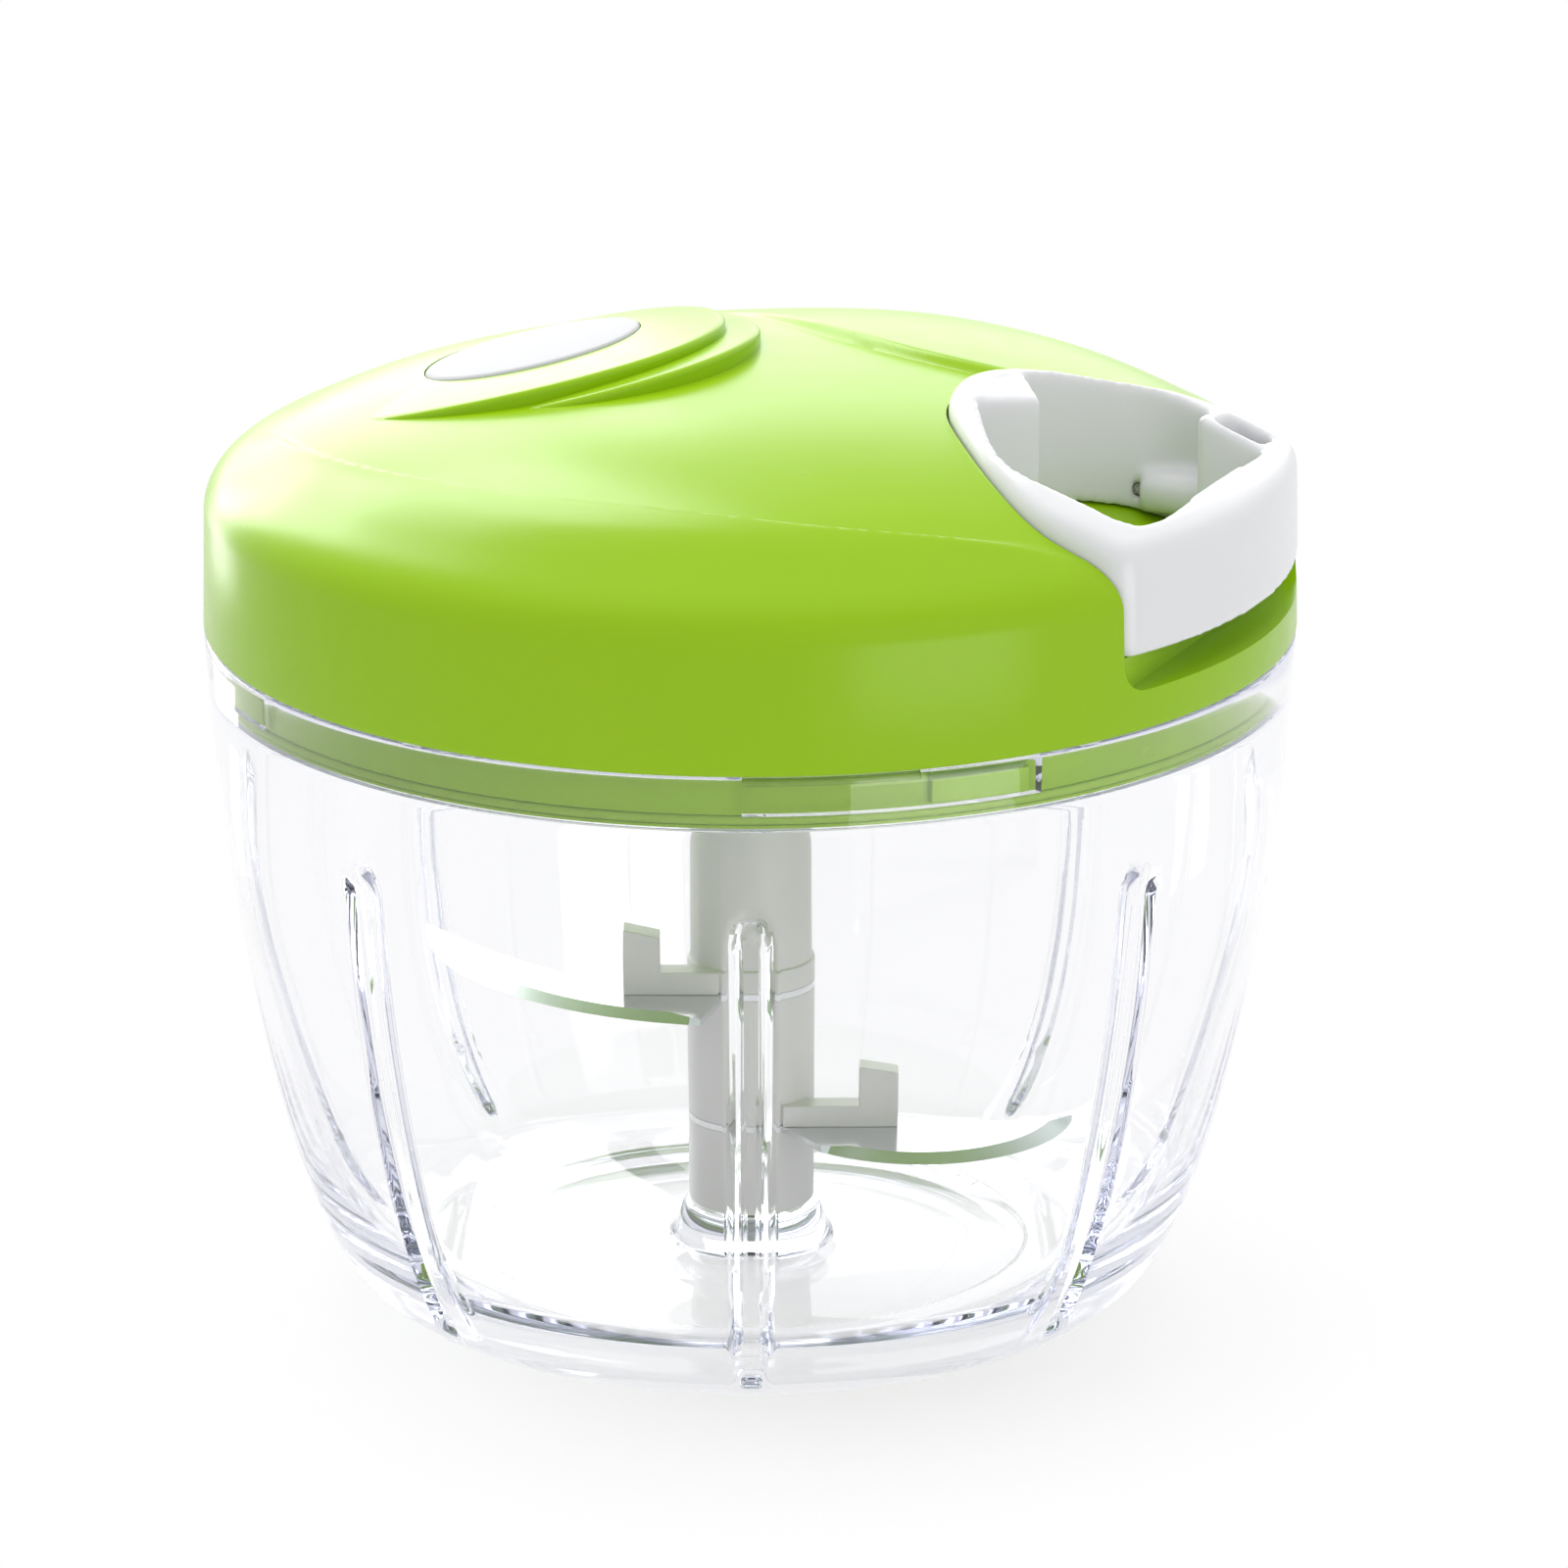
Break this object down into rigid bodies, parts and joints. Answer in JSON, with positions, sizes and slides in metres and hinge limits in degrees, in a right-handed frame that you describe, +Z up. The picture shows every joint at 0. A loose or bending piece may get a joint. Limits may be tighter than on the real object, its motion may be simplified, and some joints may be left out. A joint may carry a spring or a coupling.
{
  "type": "pull-string food chopper",
  "caption": "Round clear bowl with a domed screw-on lid; a cord pulled by a finger loop spins an upright column of curved blades through a one-way clutch, and a spring winds the cord back.",
  "frame": {"origin": "centre of the bowl's resting face", "axes": "+Z up; +X is the way the handle pulls out of the lid"},
  "size_m": [0.1246, 0.1246, 0.1113],
  "materials": {
    "clear_plastic": "clear",
    "lime_plastic": null,
    "white_gloss_plastic": null,
    "white_plastic": null,
    "inner_plastic": null,
    "silicone": null,
    "steel": null,
    "blade_steel": "ground",
    "spring_steel": null,
    "cord_fabric": null
  },
  "bodies": {
    "bowl": {"bowl": "clear_plastic", "bowl_pivot_pin": "steel"},
    "seal": {"lid_seal": "silicone"},
    "lid": {"lid_cover": "lime_plastic", "lid_badge": "white_gloss_plastic", "lid_base": "lime_plastic", "lid_screws": "steel", "reel_axle": "steel", "reel_washer": "steel", "cord_eyelet": "steel"},
    "spindle": {"spindle_shaft": "steel", "lower_sleeve": "white_plastic", "middle_sleeve": "white_plastic", "upper_sleeve": "white_plastic", "upper_blade": "blade_steel", "lower_blade": "blade_steel"},
    "reel": {"reel_drum": "inner_plastic", "spring_cover": "inner_plastic", "cord_winding": "cord_fabric", "rewind_spring": "spring_steel", "pawl_retainer": "inner_plastic", "pawl_spring_a": "spring_steel", "pawl_spring_b": "spring_steel"},
    "drive": {"drive_hub": "white_plastic"},
    "pawl_a": {"pawl_a": "inner_plastic"},
    "pawl_b": {"pawl_b": "inner_plastic"},
    "handle": {"pull_handle": "white_gloss_plastic", "cord_lead": "cord_fabric", "cord_knot": "cord_fabric"}
  },
  "joints": [
    {"name": "lid_lift", "type": "slide", "parent": "bowl", "child": "seal", "axis": [0, 0, 1], "range_m": [0, 0.08]},
    {"name": "lid_turn", "type": "hinge", "parent": "seal", "child": "lid", "pos_m": [0, 0, 0.0798], "axis": [0, 0, 1], "range_deg": [-18, 0]},
    {"name": "handle_pull", "type": "slide", "parent": "lid", "child": "handle", "axis": [1, 0, 0], "range_m": [0, 0.4], "stiffness_N_per_m": 12, "springref_m": -0.35, "deforming": ["cord_lead"]},
    {"name": "reel_spin", "type": "hinge", "parent": "lid", "child": "reel", "pos_m": [0, 0, 0.092], "axis": [0, 0, 1], "range_deg": [-1160, 0], "deforming": ["rewind_spring"]},
    {"name": "hub_spin", "type": "hinge", "parent": "lid", "child": "drive", "pos_m": [0, 0, 0.08], "axis": [0, 0, 1], "range_deg": [-1160, 0]},
    {"name": "spindle_spin", "type": "hinge", "parent": "bowl", "child": "spindle", "pos_m": [0, 0, 0.02], "axis": [0, 0, 1], "range_deg": [-1160, 0]},
    {"name": "pawl_a_swing", "type": "hinge", "parent": "reel", "child": "pawl_a", "pos_m": [0.0104, 0.00813, 0.088], "axis": [0, 0, 1], "range_deg": [0, 12], "stiffness_Nm_per_rad": 0.0005, "springref_deg": -17.19, "deforming": ["pawl_spring_a"]},
    {"name": "pawl_b_swing", "type": "hinge", "parent": "reel", "child": "pawl_b", "pos_m": [-0.0104, -0.00813, 0.088], "axis": [0, 0, 1], "range_deg": [0, 12], "stiffness_Nm_per_rad": 0.0005, "springref_deg": -17.19, "deforming": ["pawl_spring_b"]}
  ],
  "couplings": [
    {"joint": "reel_spin", "follows": "handle_pull", "rad_per_m": -50},
    {"joint": "hub_spin", "follows": "handle_pull", "rad_per_m": -50},
    {"joint": "spindle_spin", "follows": "handle_pull", "rad_per_m": -50}
  ]
}
